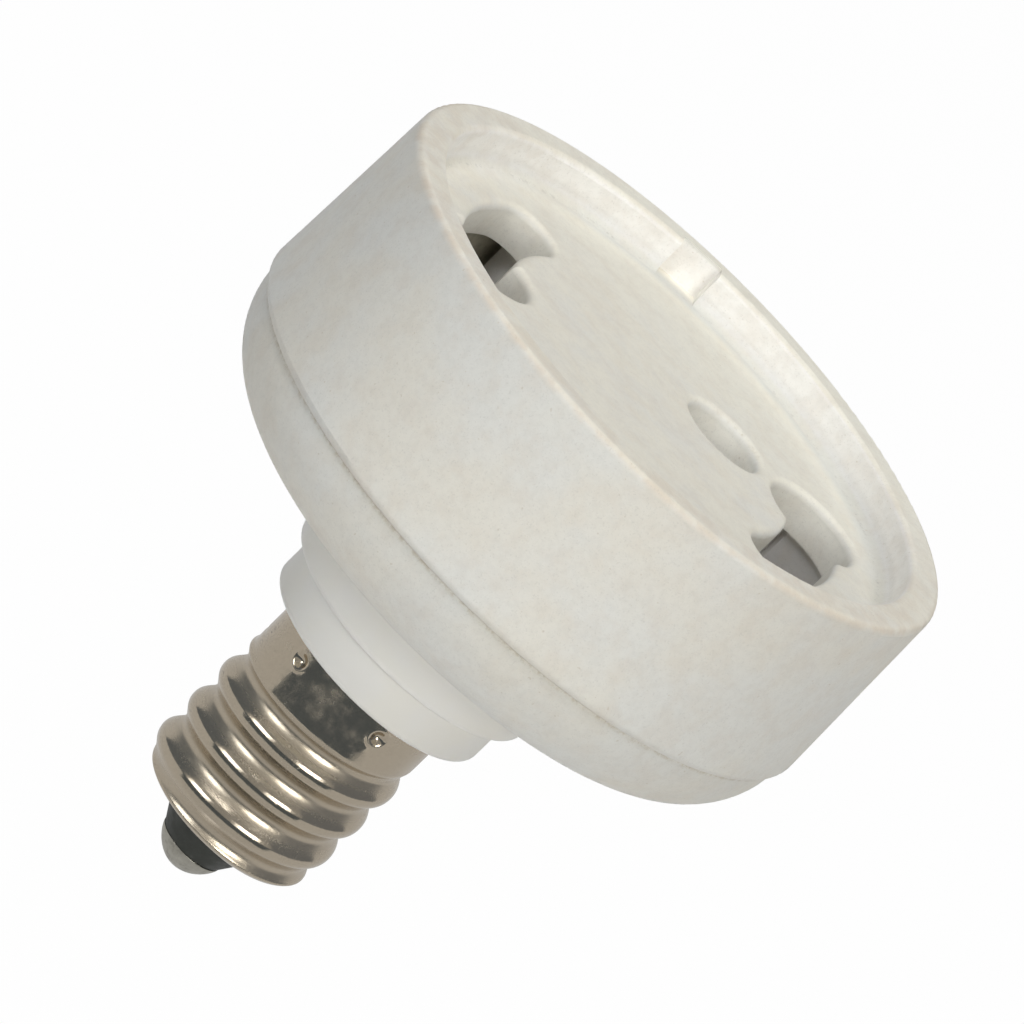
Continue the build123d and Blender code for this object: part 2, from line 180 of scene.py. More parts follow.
class TipSizes(bpy.types.PropertyGroup):
    """Sizes of the tinned centre contact."""

    dome_radius: length("Dome Radius", 2.075 * MM, "Radius of the dome where it laps over the insulator")
    dome_height: length("Dome Height", 1.6 * MM, "From the tip to the dome's edge")
    foot_radius: length("Foot Radius", 1.78 * MM, "Foot of the insulator's cone")
    foot_height: length("Foot Height", 1.2 * MM, "From the tip to the insulator")
    cone_slope: amount("Cone Slope", 0.608, "Widening of the cone for its height")
    gap: length("Gap", 0.015 * MM, "Between the dome's underside and the insulator")
    shank_radius: length("Shank Radius", 0.8 * MM, "Shank through the insulator")
    unevenness: length("Unevenness", 0.03 * MM, "How far the tinned dome strays from round")
    columns: count("Columns", 96, "Grid lines round the tip")
    dome_rows: count("Dome Rows", 28, "Grid lines from the tip to the dome's edge")


class FinishColours(bpy.types.PropertyGroup):
    """Colours of the adapter's finishes."""

    moulding: colour("Moulding", (0.805, 0.78, 0.71), "Heat-resistant moulding")
    moulding_cool: colour("Moulding, Cool", (0.79, 0.787, 0.75), "Cooler patches of the moulding")
    # Painted light: a lighter colour on the wall of the recess and its keyway.
    moulding_wall_light: colour("Moulding, Clean", (0.965, 0.95, 0.92), "Sheltered wall of the recess")
    moulding_dusty: colour("Moulding, Dusty", (0.86, 0.83, 0.73), "Faces that look up")
    # Painted light: a lighter colour on the walls of the holes in the face.
    moulding_hole_light: colour("Moulding, Inside", (0.95, 0.93, 0.86), "Walls of the holes in the face")
    # Painted light: a lighter colour on the upward faces of the lit side.
    moulding_lit_side: colour("Moulding, Swept", (0.99, 0.965, 0.85), "Cleaner side of the face and the rim")
    # Painted shade: a darker colour in the chambers under the plate.
    moulding_chamber_shade: colour("Moulding, Deep", (0.70, 0.685, 0.67), "Chambers under the plate")
    moulding_shade: colour("Moulding, Shade", (0.46, 0.50, 0.53), "Cool foot of the recess")
    moulding_tan: colour("Moulding, Tan", (0.64, 0.53, 0.41), "Rubbed edges")
    speckle: colour("Speckle", (0.40, 0.39, 0.36), "Mineral specks in the moulding")
    seam: colour("Seam", (0.50, 0.43, 0.31), "Dirt along the seam")
    neck: colour("Neck", (0.84, 0.83, 0.80), "Smooth white neck")
    nickel: colour("Nickel", (0.58, 0.505, 0.395), "Plated shell")
    nickel_dark: colour("Nickel, Dark", (0.12, 0.105, 0.085), "Tarnish on the shell")
    insulator: colour("Insulator", (0.034, 0.037, 0.031), "Black cone")
    tinned: colour("Tinned", (0.44, 0.425, 0.37), "Dull tip")
    bronze: colour("Bronze", (0.58, 0.55, 0.45), "Leaf contacts")
    zinc: colour("Zinc", (0.52, 0.52, 0.50), "Screws")
    sleeve: colour("Sleeve", (0.72, 0.71, 0.66), "Lead insulation")


class WearAmounts(bpy.types.PropertyGroup):
    """How strongly each kind of wear and dirt shows on the moulding."""

    # Strength of the painted light on the upward faces of the lit side.
    lit_side_strength: amount("Swept Side", 0.6, "Cleaner side of the face and the rim")
    foot: amount("Recess Foot", 0.22, "Grey line at the foot of the recess")
    shade: amount("Recess Shade", 0.4, "Cool shade at the foot of the recess")
    blotches: amount("Blotches", 0.15, "Tan blotches all over")
    rim_edge: amount("Rim Edge", 0.42, "Rubbed outer edge of the rim")
    recess_edge: amount("Recess Edge", 0.12, "Rubbed edge of the recess")
    seam_edge: amount("Seam Edge", 0.25, "Rubbed edge above the seam")
    # Tan on the rim's land, only away from the lit side: partly rubbing, partly painted shade.
    land: amount("Rim Land", 0.27, "Rubbed land of the rim")
    grains: amount("Recess Grains", 0.4, "Grey grains in the corner of the recess")
    seam_dots: amount("Seam Dots", 0.55, "Dirt along the seam")
    stains: amount("Well Stains", 0.3, "Dirt round the screw's well")
    mottle: amount("Mottle", 0.075, "Mineral mottle")
    specks: amount("Specks", 0.17, "Mineral specks")
    motes: amount("Motes", 0.3, "Loose dirt")


class StudioSettings(bpy.types.PropertyGroup):
    """Camera, lamps and floor."""

    azimuth: angle("Azimuth", -110.898, "Camera, round the adapter's axis from +X")
    elevation: angle("Elevation", 18.274, "Camera, above the horizontal")
    roll: angle("Roll", 45.618, "Camera, about its line of sight")
    distance: length("Distance", 490.03 * MM, "Camera, from its aim")
    aim: FloatVectorProperty(
        name="Aim",
        description="Point in the middle of the picture",
        default=(-0.677 * MM, 0.259 * MM, 28.425 * MM),
        size=3,
        unit="LENGTH",
        subtype="XYZ",
    )
    lens: camera_length("Lens", 316.4, "Focal length")
    sensor: camera_length("Sensor", 36.0, "Width of the sensor")
    clip_start: length("Clip Start", 0.01, "Nearest distance that the camera sees")
    lamp_distance: length("Lamp Distance", 0.7, "Softboxes, from the adapter")
    front_size: length("Front Softbox Size", 0.27, "Side of a front softbox")
    top_size: length("Top Softbox Size", 0.34, "Side of a top softbox")
    front_elevation: angle("Front Softbox Elevation", 17.0, "Above the horizontal")
    top_elevation: angle("Top Softbox Elevation", 66.0, "Above the horizontal")
    back_elevation: angle("Back Softbox Elevation", 10.0, "Above the horizontal")
    left_azimuth: angle("Left Softbox", -149.0, "Round the axis from +X")
    right_azimuth: angle("Right Softbox", -79.0, "Round the axis from +X")
    top_left_azimuth: angle("Top Left Softbox", -140.0, "Round the axis from +X")
    top_right_azimuth: angle("Top Right Softbox", -50.0, "Round the axis from +X")
    back_left_azimuth: angle("Back Left Softbox", 110.0, "Round the axis from +X")
    back_right_azimuth: angle("Back Right Softbox", 30.0, "Round the axis from +X")
    left_tint: colour("Left Tint", (0.95, 0.985, 1.0), "Cool light of the left softbox")
    right_tint: colour("Right Tint", (1.0, 0.985, 0.935), "Warm light of the right softbox")
    left_power: power("Left Power", 0.8, "Left softbox")
    right_power: power("Right Power", 1.7, "Right softbox")
    top_left_power: power("Top Left Power", 2.19, "Top left softbox")
    top_right_power: power("Top Right Power", 1.04, "Top right softbox")
    back_power: power("Back Power", 0.5, "Each of the back softboxes")
    ambient: amount("Ambient", 0.03, "Level of the room's light")
    floor_drop: length("Floor Drop", 0.12, "Floor, below the tip")
    floor_size: length("Floor Size", 6.0, "Side of the floor")
    floor_tone: amount("Floor Tone", 0.9, "How much light the floor throws back")
    floor_white: amount("Floor White", 0.985, "How far the floor is plain white to the eye")


def smooth_step(value):
    """Cubic ease from 0 to 1, flat at both ends."""
    value = np.clip(value, 0.0, 1.0)
    return value * value * (3.0 - 2.0 * value)


def soft_min(first, second, reach):
    """Smaller of two heights, with the corner between them rounded over the reach."""
    blend = np.clip(0.5 + 0.5 * (second - first) / reach, 0.0, 1.0)
    return second + (first - second) * blend - reach * blend * (1.0 - blend)


def turned_grid(turn, radius, level):
    """Points at some angles, radii and levels round the axis."""
    return np.stack([radius * np.cos(turn), radius * np.sin(turn), level], axis=-1)


def ring_mesh(name, points):
    """Closed surface from a grid of points: rows follow a closed profile, columns run once round the axis. A
    row that lies on the axis is drawn together into one point."""
    rows, columns = points.shape[:2]
    index = np.arange(rows * columns).reshape(rows, columns)
    below = np.roll(index, -1, axis=0)
    beside = np.roll(index, -1, axis=1)
    corner = np.roll(below, -1, axis=1)
    quads = np.stack([index, below, corner, beside], axis=-1).reshape(-1, 4)
    mesh = bpy.data.meshes.new(name)
    mesh.from_pydata(points.reshape(-1, 3), [], quads)
    form = bmesh.new()
    form.from_mesh(mesh)
    bmesh.ops.remove_doubles(form, verts=form.verts, dist=MERGE_DISTANCE)
    form.to_mesh(mesh)
    form.free()
    mesh.polygons.foreach_set("use_smooth", np.ones(len(mesh.polygons), dtype=bool))
    mesh.update()
    return mesh


def add_object(name, data):
    """Object made of some data, linked into the scene."""
    item = bpy.data.objects.new(name, data)
    bpy.context.scene.collection.objects.link(item)
    return item


def add_piece(name, points, material, slot, *nodes):
    """Makes a grid of points into a piece that stands for some solids."""
    mesh = ring_mesh(name, points)
    mesh.materials.append(material)
    piece = add_object(name, mesh)
    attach(piece, BODY)
    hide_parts(*nodes)


def dress(material, *nodes):
    """Gives some solids their finish."""
    for node in nodes:
        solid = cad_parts[node]
        solid.data.materials.clear()
        solid.data.materials.append(material)


def shell_rows(sizes):
    """Heights of the grid's rows down the outside of the shell: even on the band and the thread, and closer
    and closer towards the end, as the square of the row, because the end runs out flat."""
    foot = SHELL_LOW.z + sizes.end_lift
    end = foot + sizes.end_rounding
    straight = np.linspace(SHELL_HIGH.z, end, sizes.straight_rows, endpoint=False)
    turned = foot + sizes.end_rounding * np.linspace(1.0, 0.0, sizes.end_rows) ** 2
    return np.concatenate([straight, turned])


def shell_outside(sizes, turn, height):
    """Outer radius at an angle and a height, before the punch marks. The thread is the root plus half a
    cosine of the phase, which is the height over the start in pitches less the turns. Near the end it is
    held under an arc, and near the band under a slope. The core widens into the band over its rounding."""
    root = sizes.crest_radius - sizes.thread_depth
    foot = SHELL_LOW.z + sizes.end_lift
    band = SHELL_HIGH.z - sizes.band_height
    blend = THREAD_BLEND * sizes.thread_depth
    phase = (height - sizes.thread_start) / sizes.thread_pitch - turn / (2 * np.pi)
    thread = root + sizes.thread_depth * (0.5 + 0.5 * np.cos(2 * np.pi * phase))
    run = sizes.crest_radius - sizes.end_radius
    bow = (run**2 + sizes.end_rounding**2) / (2 * sizes.end_rounding)
    rise = np.clip(height - foot, 0.0, sizes.end_rounding)
    end = sizes.end_radius + np.sqrt(bow**2 - (bow - rise) ** 2)
    end = end + np.maximum(height - foot - sizes.end_rounding, 0.0)
    fade = (height - band) / sizes.band_shoulder
    slope = sizes.crest_radius - (sizes.crest_radius - sizes.band_radius) * smooth_step(0.5 + 0.5 * fade)
    thread = soft_min(thread, slope, blend)
    core = root + (sizes.band_radius - root) * smooth_step((height - band) / sizes.band_rounding)
    return soft_min(np.maximum(thread, core), end, blend)


def press_stakes(sizes, turn, height, outside):
    """Outer radius with the punch marks: each is a round dent, a power of one less the square of the
    distance from its middle, with a low ridge round it, and each has a fellow across the axis."""
    centre = SHELL_HIGH.z - sizes.stake_drop
    for first in (sizes.stake_first, sizes.stake_second):
        for place in (first, first + np.pi):
            across = sizes.band_radius * np.angle(np.exp(1j * (turn - place)))
            away = np.hypot(across, height - centre) / sizes.stake_radius
            dent = np.clip(1.0 - away**2, 0.0, 1.0) ** 1.5
            ridge = np.exp(-(((away - RIDGE_PLACE) / RIDGE_WIDTH) ** 2))
            outside = outside - sizes.stake_depth * dent
            outside = outside + RIDGE_SHARE * sizes.stake_depth * ridge
    return outside


def shell_points(sizes):
    """Grid of the shell: down the outside, in along the turned end with a bead at the mouth, up the bore."""
    turn = np.linspace(-np.pi, np.pi, sizes.columns, endpoint=False)[None, :]
    height = shell_rows(sizes)[:, None]
    outside = press_stakes(sizes, turn, height, shell_outside(sizes, turn, height))
    foot = SHELL_LOW.z + sizes.end_lift
    inward = np.linspace(0.0, 1.0, sizes.mouth_rows)[1:, None]
    end_radius = outside[-1] + (sizes.mouth_radius - outside[-1]) * inward
    from_mouth = (end_radius - sizes.mouth_radius) / (BEAD_WIDTH * sizes.lip_height)
    bead = np.exp(-((from_mouth - BEAD_PLACE) ** 2))
    groove = np.exp(-((from_mouth - GROOVE_PLACE) ** 2))
    end_height = foot + sizes.lip_height * (groove - bead)
    band = SHELL_HIGH.z - sizes.band_height
    root_bore = sizes.crest_radius - sizes.thread_depth - sizes.wall
    band_bore = sizes.band_radius - sizes.wall
    floor = foot + sizes.wall
    bore = np.array(
        [
            (sizes.mouth_radius, floor),
            (root_bore - sizes.wall, floor),
            (root_bore, floor + sizes.wall),
            (root_bore, band),
            (band_bore, band + sizes.band_shoulder),
            (band_bore, SHELL_HIGH.z),
        ]
    )
    ones = np.ones_like(turn)
    radius = np.concatenate([outside, end_radius, bore[:, :1] * ones])
    level = np.concatenate([height * ones, end_height, bore[:, 1:] * ones])
    return turned_grid(turn, radius, level)


def tip_points(sizes):
    """Grid of the centre contact: a dome, which is a quarter of a superellipse turned round the axis and
    made uneven by a few slow waves, then back under along the insulator's cone and its foot to the shank,
    and up through the insulator."""
    turn = np.linspace(-np.pi, np.pi, sizes.columns, endpoint=False)[None, :]
    ease = np.linspace(0.0, 0.5 * np.pi, sizes.dome_rows)[:, None]
    reach = np.sin(ease)
    drop = 1.0 - np.cos(ease) ** 1.5
    waves = np.sin(2 * turn + 0.6) + 0.7 * np.sin(3 * turn - 1.1 + 2 * ease)
    radius = sizes.dome_radius * reach - sizes.unevenness * (0.5 + 0.3 * waves) * reach
    lift = 0.4 * sizes.unevenness * (1.0 + waves / 1.7) * reach * np.cos(ease)
    level = TIP_LOW.z + sizes.dome_height * drop + lift
    ones = np.ones_like(turn)
    lap_radius = sizes.foot_radius + sizes.cone_slope * (sizes.dome_height - sizes.foot_height)
    foot = sizes.foot_height - sizes.gap
    shank = np.array(
        [
            (lap_radius + sizes.gap, sizes.dome_height),
            (sizes.foot_radius + sizes.gap, foot),
            (sizes.shank_radius, foot),
            (sizes.shank_radius, TIP_HIGH.z),
            (0.0, TIP_HIGH.z),
        ]
    )
    radius = np.concatenate([radius[::-1], 0.0 * ones, shank[::-1, :1] * ones])
    level = np.concatenate([level[::-1] * ones, TIP_LOW.z * ones, shank[::-1, 1:] * ones])
    return turned_grid(turn, radius, level)


class Finish:
    """A material under construction: one principled shader, and short calls that add its nodes."""

    def __init__(self, name):
        self.material = bpy.data.materials.new(name)
        self.material.use_nodes = True
        self.tree = self.material.node_tree
        self.tree.nodes.clear()
        output = self.tree.nodes.new("ShaderNodeOutputMaterial")
        self.shader = self.tree.nodes.new("ShaderNodeBsdfPrincipled")
        self.tree.links.new(self.shader.outputs["BSDF"], output.inputs["Surface"])
        place = self.tree.nodes.new("ShaderNodeTexCoord")
        self.place = place.outputs["Object"]
        self.direction = place.outputs["Normal"]

    def set(self, **values):
        """Sets the shader's own sockets, or links them where the value is a node's output."""
        for name, value in values.items():
            self.feed(self.shader.inputs[name.replace("_", " ")], value)

    def feed(self, socket, value):
        """Links an output, or writes a plain value."""
        if isinstance(value, bpy.types.NodeSocket):
            self.tree.links.new(value, socket)
        elif hasattr(value, "__len__") and len(value) == 3 and socket.type == "RGBA":
            socket.default_value = (*value, 1.0)
        else:
            socket.default_value = value

    def math(self, operation, first, second=0.0, third=0.0):
        """One arithmetic step."""
        node = self.tree.nodes.new("ShaderNodeMath")
        node.operation = operation
        for socket, value in zip(node.inputs, (first, second, third)):
            self.feed(socket, value)
        return node.outputs[0]

    def product(self, first, *others):
        """Values multiplied in order."""
        for other in others:
            first = self.math("MULTIPLY", first, other)
        return first

    def hypotenuse(self, across, along):
        """Length of two steps at a right angle."""
        squares = self.math("ADD", self.product(across, across), self.product(along, along))
        return self.math("SQRT", squares)

    def ease(self, value, low, high, start=0.0, stop=1.0):
        """Maps a range of values smoothly to another."""
        node = self.tree.nodes.new("ShaderNodeMapRange")
        node.interpolation_type = "SMOOTHSTEP"
        for socket, given in zip(node.inputs, (value, low, high, start, stop)):
            self.feed(socket, given)
        return node.outputs[0]

    def mix(self, factor, first, second):
        """Blend of two colours."""
        node = self.tree.nodes.new("ShaderNodeMix")
        node.data_type = "RGBA"
        self.feed(node.inputs["Factor"], factor)
        self.feed(node.inputs[6], first)
        self.feed(node.inputs[7], second)
        return node.outputs[2]

    def stretched(self, scale):
        """Object coordinates, scaled along each axis."""
        node = self.tree.nodes.new("ShaderNodeMapping")
        self.feed(node.inputs["Vector"], self.place)
        node.inputs["Scale"].default_value = scale
        return node.outputs[0]

    def noise(self, grain, detail=3.0, roughness=0.55, vector=None, fourth=None):
        """Cloudy noise with blobs about as wide as the grain, in metres, in three or four dimensions."""
        node = self.tree.nodes.new("ShaderNodeTexNoise")
        if fourth is not None:
            node.noise_dimensions = "4D"
            self.feed(node.inputs["W"], self.math("DIVIDE", fourth, grain))
        self.feed(node.inputs["Vector"], vector or self.place)
        node.inputs["Scale"].default_value = 1.0 / grain
        node.inputs["Detail"].default_value = detail
        node.inputs["Roughness"].default_value = roughness
        return node.outputs["Fac"]

    def clouds(self, grain, low, high, start=0.0, stop=1.0, detail=3.0, roughness=0.55):
        """Cloudy noise, mapped smoothly from a range of its values to another."""
        return self.ease(self.noise(grain, detail, roughness), low, high, start, stop)

    def bump(self, height, depth, strength=1.0):
        """Relief of a given depth, in metres."""
        node = self.tree.nodes.new("ShaderNodeBump")
        node.inputs["Strength"].default_value = strength
        node.inputs["Distance"].default_value = depth
        self.feed(node.inputs["Height"], height)
        self.tree.links.new(node.outputs["Normal"], self.shader.inputs["Normal"])

    def split(self, vector):
        """The three values of a vector."""
        node = self.tree.nodes.new("ShaderNodeSeparateXYZ")
        self.feed(node.inputs[0], vector)
        return node.outputs

    def pack(self, x, y, z):
        """Three values as one vector."""
        node = self.tree.nodes.new("ShaderNodeCombineXYZ")
        for socket, value in zip(node.inputs, (x, y, z)):
            self.feed(socket, value)
        return node.outputs[0]


class MouldingFinish(Finish):
    """Matt mineral moulding of the housing and its cover. Each kind of mark is laid over the last."""

    def __init__(self, colours, body, wear):
        super().__init__("speckled moulding")
        self.colours = colours
        self.body = body
        self.wear = wear
        self.base = colours.moulding_cool
        self.x, self.y, self.height = self.split(self.place)
        self.radius = self.hypotenuse(self.x, self.y)
        self.floor = HOUSING_HIGH.z - body.recess_depth
        self.above = self.ease(self.height, self.floor - 0.6 * MM, self.floor)
        # Painted light and shade: 1 on the lit side, easing to 0 across the moulding.
        side = self.product(self.x, math.cos(body.lit_side_angle))
        side = self.math("MULTIPLY_ADD", self.y, math.sin(body.lit_side_angle), side)
        self.lit_side = self.ease(side, -2.0 * MM, 17.0 * MM)

    def tint(self, colour, *masks):
        """Lays a colour over the base, as far as the product of the masks."""
        self.base = self.mix(self.product(*masks), self.base, colour)

    def near_ring(self, radius, height, reach):
        """1 on a ring round the axis, easing to 0 at the reach."""
        across = self.math("SUBTRACT", self.radius, radius)
        along = self.math("SUBTRACT", self.height, height)
        return self.ease(self.hypotenuse(across, along), 0.0, reach, 1.0, 0.0)

    def near_hole(self, centre, radius, reach):
        """1 round the edge of an upright hole, easing to 0 at the reach."""
        across = self.math("SUBTRACT", self.x, centre.x)
        along = self.math("SUBTRACT", self.y, centre.y)
        away = self.math("SUBTRACT", self.hypotenuse(across, along), radius)
        return self.ease(self.math("ABSOLUTE", away), 0.0, reach, 1.0, 0.0)

    def ground(self):
        """Cool and warm clouds, and painted light on the wall of the recess and of its keyway."""
        recess, rim = self.body.recess_radius, HOUSING_HIGH.z
        self.tint(self.colours.moulding, self.clouds(9.0 * MM, 0.38, 0.62))
        lit_wall = self.ease(self.radius, recess + 0.1 * MM, recess + 0.5 * MM, 1.0, 0.0)
        keyway = self.ease(self.radius, recess + 0.9 * MM, recess + 1.1 * MM, 1.0, 0.0)
        sunk = self.ease(self.height, rim - 0.25 * MM, rim - 0.05 * MM, 1.0, 0.0)
        lit_wall = self.math("MAXIMUM", lit_wall, self.product(keyway, sunk))
        beyond = self.ease(self.radius, recess - 1.6 * MM, recess - 0.6 * MM)
        # Painted light: the wall of the recess and its keyway are painted lighter.
        self.tint(self.colours.moulding_wall_light, lit_wall, beyond, self.above)

    def dust(self):
        """Dust in patches on what looks up, and painted light over the upward faces of the lit side."""
        upward = self.ease(self.split(self.direction)["Z"], 0.35, 0.9)
        patches = self.clouds(3.5 * MM, 0.36, 0.62, 0.5, 1.0, detail=4.0, roughness=0.6)
        self.tint(self.colours.moulding_dusty, upward, patches)
        # Painted light on the upward faces of the lit side.
        self.tint(self.colours.moulding_lit_side, upward, self.lit_side, self.wear.lit_side_strength)

    def holes(self):
        """Painted light on the walls of the holes in the face, and painted shade in the chambers under the
        plate.
        """
        recess, foot = self.body.recess_radius, HOUSING_LOW.z
        plate = self.floor - self.body.plate_thickness
        inward = self.ease(self.radius, recess - 1.0 * MM, recess, 1.0, 0.0)
        inward = self.product(inward, self.ease(self.height, foot + 0.3 * MM, foot + 0.8 * MM))
        under = self.ease(self.height, self.floor - 0.8 * MM, self.floor - 0.1 * MM, 1.0, 0.0)
        chamber_shade = self.ease(self.height, plate - 0.5 * MM, plate + 0.3 * MM, 1.0, 0.0)
        # Painted light on the hole walls, then painted shade in the chambers under the plate.
        self.tint(self.colours.moulding_hole_light, under, inward)
        self.tint(self.colours.moulding_chamber_shade, chamber_shade, inward)

    def recess_foot(self):
        """Grey line all round the foot of the recess, and a painted cool shade there on the lit side."""
        recess = self.body.recess_radius
        line = self.near_ring(recess - 0.25 * MM, self.floor + 0.25 * MM, 1.0 * MM)
        self.tint(self.colours.speckle, line, self.wear.foot)
        shade = self.near_ring(recess - 0.7 * MM, self.floor + 0.1 * MM, 1.2 * MM)
        # Painted cool shade at the foot of the recess, on the lit side.
        self.tint(self.colours.moulding_shade, shade, self.lit_side, self.wear.shade)

    def rubbing(self):
        """Tan blotches all over, and broken tan marks on the edges and on the land of the rim; on the land
        the tan is kept away from the lit side, so there it is partly rubbing and partly painted shade.
        """
        rim, recess, tan = self.body.rim_radius, self.body.recess_radius, self.colours.moulding_tan
        self.tint(tan, self.clouds(1.6 * MM, 0.4, 0.72, 0.0, self.wear.blotches, roughness=0.6))
        breaks = self.clouds(1.6 * MM, 0.35, 0.6, 0.35, 1.0, roughness=0.6)
        edges = (
            (rim - 0.1 * MM, HOUSING_HIGH.z - 0.16 * MM, 0.4 * MM, self.wear.rim_edge),
            (recess, HOUSING_HIGH.z, 0.6 * MM, self.wear.recess_edge),
            (COVER_HIGH.x, HOUSING_LOW.z + 0.3 * MM, 0.5 * MM, self.wear.seam_edge),
        )
        for radius, height, reach, strength in edges:
            self.tint(tan, self.near_ring(radius, height, reach), breaks, strength)
        land = self.near_ring(0.5 * (rim + recess), HOUSING_HIGH.z, 1.6 * MM)
        # Tan on the land away from the lit side: partly rubbing, partly painted shade.
        rubbed_and_shaded = self.product(self.math("SUBTRACT", 1.0, self.lit_side), self.wear.land)
        self.tint(tan, land, breaks, rubbed_and_shaded)

    def dirt(self):
        """Grey grains in the corner of the recess, and dots of dirt along the seam and round the well."""
        corner = self.near_ring(self.body.recess_radius - 0.55 * MM, self.floor + 0.08 * MM, 0.2 * MM)
        grains = self.clouds(0.35 * MM, 0.52, 0.66, 0.0, self.wear.grains, roughness=0.7)
        self.tint(self.colours.speckle, corner, grains)
        seam = self.near_ring(COVER_HIGH.x, HOUSING_LOW.z, 0.3 * MM)
        dots = self.clouds(0.35 * MM, 0.42, 0.62, 0.08, self.wear.seam_dots, roughness=0.7)
        self.tint(self.colours.seam, seam, dots)
        well = self.near_hole(0.5 * (WELL_LOW + WELL_HIGH), self.body.well_radius, 0.7 * MM)
        stains = self.clouds(0.5 * MM, 0.5, 0.7, 0.0, self.wear.stains, roughness=0.6)
        self.tint(self.colours.seam, well, stains, self.above)

    def speckle(self):
        """Mineral mottle and specks all over, and a few loose motes."""
        mottle = self.clouds(0.45 * MM, 0.4, 0.66, 0.0, self.wear.mottle, detail=4.0, roughness=0.7)
        self.tint(self.colours.speckle, mottle)
        specks = self.clouds(0.12 * MM, 0.56, 0.72, 0.0, self.wear.specks, detail=2.0, roughness=0.6)
        self.tint(self.colours.speckle, specks)
        motes = self.clouds(0.26 * MM, 0.75, 0.8, 0.0, self.wear.motes, detail=1.0, roughness=0.4)
        self.tint(self.colours.seam, motes)


def moulding_finish(colours, body, wear):
    """Matt mineral moulding, marked from the ground up to the specks, with a fine grain."""
    finish = MouldingFinish(colours, body, wear)
    finish.ground()
    finish.dust()
    finish.holes()
    finish.recess_foot()
    finish.rubbing()
    finish.dirt()
    finish.speckle()
    finish.set(Base_Color=finish.base, Roughness=0.62, Specular_IOR_Level=0.3)
    finish.bump(finish.noise(0.22 * MM, 4.0, 0.65), 0.018 * MM, 0.45)
    return finish.material


def neck_finish(colours):
    """Smooth white moulding with a faint cloud and a satin surface."""
    finish = Finish("smooth white moulding")
    base = finish.mix(finish.clouds(4.0 * MM, 0.35, 0.65, 0.0, 0.3), colours.neck, colours.moulding_dusty)
    rough = finish.clouds(1.2 * MM, 0.3, 0.7, 0.42, 0.52)
    finish.set(Base_Color=base, Roughness=rough, Specular_IOR_Level=0.4)
    finish.bump(finish.noise(0.6 * MM, 2.0), 0.008 * MM, 0.4)
    return finish.material


def nickel_finish(colours, sizes):
    """Nickel plate: smoother on the rolled crests than in the valleys, with dark streaks along the thread,
    grit in clouds that scatters the light, and dull smudges on the plain band."""
    finish = Finish("nickel plate")
    x, y, z = finish.split(finish.place)
    turn = finish.math("ARCTAN2", y, x)
    rise = finish.math("DIVIDE", finish.math("SUBTRACT", z, sizes.thread_start), sizes.thread_pitch)
    phase = finish.math("SUBTRACT", finish.product(rise, 2 * math.pi), turn)
    crest = finish.math("COSINE", phase)
    along = finish.pack(
        finish.product(crest, 2.0 * MM),
        finish.product(finish.math("SINE", phase), 2.0 * MM),
        finish.product(z, 0.3),
    )
    streaks = finish.noise(0.5 * MM, 3.0, 0.6, along, finish.product(x, 0.12))
    base = finish.mix(finish.ease(streaks, 0.5, 0.68, 0.0, 0.65), colours.nickel, colours.nickel_dark)
    patches = finish.clouds(1.2 * MM, 0.42, 0.62, roughness=0.6)
    grit = finish.product(patches, finish.clouds(0.16 * MM, 0.5, 0.75, roughness=0.65))
    rough = finish.ease(crest, -0.6, 0.8, 0.3, 0.13)
    rough = finish.math("MULTIPLY_ADD", grit, 0.22, rough)
    band = SHELL_HIGH.z - sizes.band_height
    on_band = finish.ease(z, band, band + sizes.band_rounding)
    smudges = finish.clouds(1.1 * MM, 0.38, 0.78, 0.1, 0.32)
    apart = finish.math("SUBTRACT", finish.math("MULTIPLY_ADD", grit, 0.06, smudges), rough)
    rough = finish.math("MULTIPLY_ADD", on_band, apart, rough)
    finish.set(Base_Color=base, Roughness=rough, Metallic=1.0)
    rolled = finish.noise(0.12 * MM, 3.0, 0.6, finish.stretched((0.1, 0.1, 1.0)))
    dents = finish.noise(0.4 * MM, 3.0, 0.6)
    finish.bump(finish.math("ADD", finish.product(rolled, 0.3), dents), 0.013 * MM, 0.5)
    return finish.material


def insulator_finish(colours):
    """Black moulded cone with a satin skin and faint dust."""
    finish = Finish("black insulator")
    dust = finish.clouds(0.5 * MM, 0.55, 0.8, 0.0, 0.1, detail=5.0, roughness=0.7)
    base = finish.mix(dust, colours.insulator, colours.speckle)
    rough = finish.clouds(0.7 * MM, 0.3, 0.7, 0.4, 0.55)
    finish.set(Base_Color=base, Roughness=rough, Specular_IOR_Level=0.25)
    finish.bump(finish.noise(0.35 * MM, 3.0), 0.012 * MM, 0.4)
    return finish.material


def metal_finish(name, tone, stain, grain, rough, depth, cover, metallic=1.0):
    """Dull metal: stains in clouds about as wide as the grain, and a fine uneven skin."""
    finish = Finish(name)
    stains = finish.clouds(grain, 0.42, 0.7, 0.0, cover, detail=5.0, roughness=0.65)
    finish.set(Base_Color=finish.mix(stains, tone, stain), Metallic=metallic)
    finish.set(Roughness=finish.clouds(0.5 * grain, 0.3, 0.7, rough, rough + 0.14))
    finish.bump(finish.noise(0.6 * grain, 4.0), depth, 0.5)
    return finish.material


def sleeve_finish(colours):
    """White sleeving with a fine, uneven weave."""
    finish = Finish("lead sleeving")
    weave = finish.noise(0.18 * MM, 2.0, 0.5)
    shaded = finish.ease(weave, 0.4, 0.6, 0.0, 0.35)
    finish.set(Base_Color=finish.mix(shaded, colours.sleeve, colours.moulding_tan), Roughness=0.7)
    finish.bump(weave, 0.02 * MM, 0.5)
    return finish.material


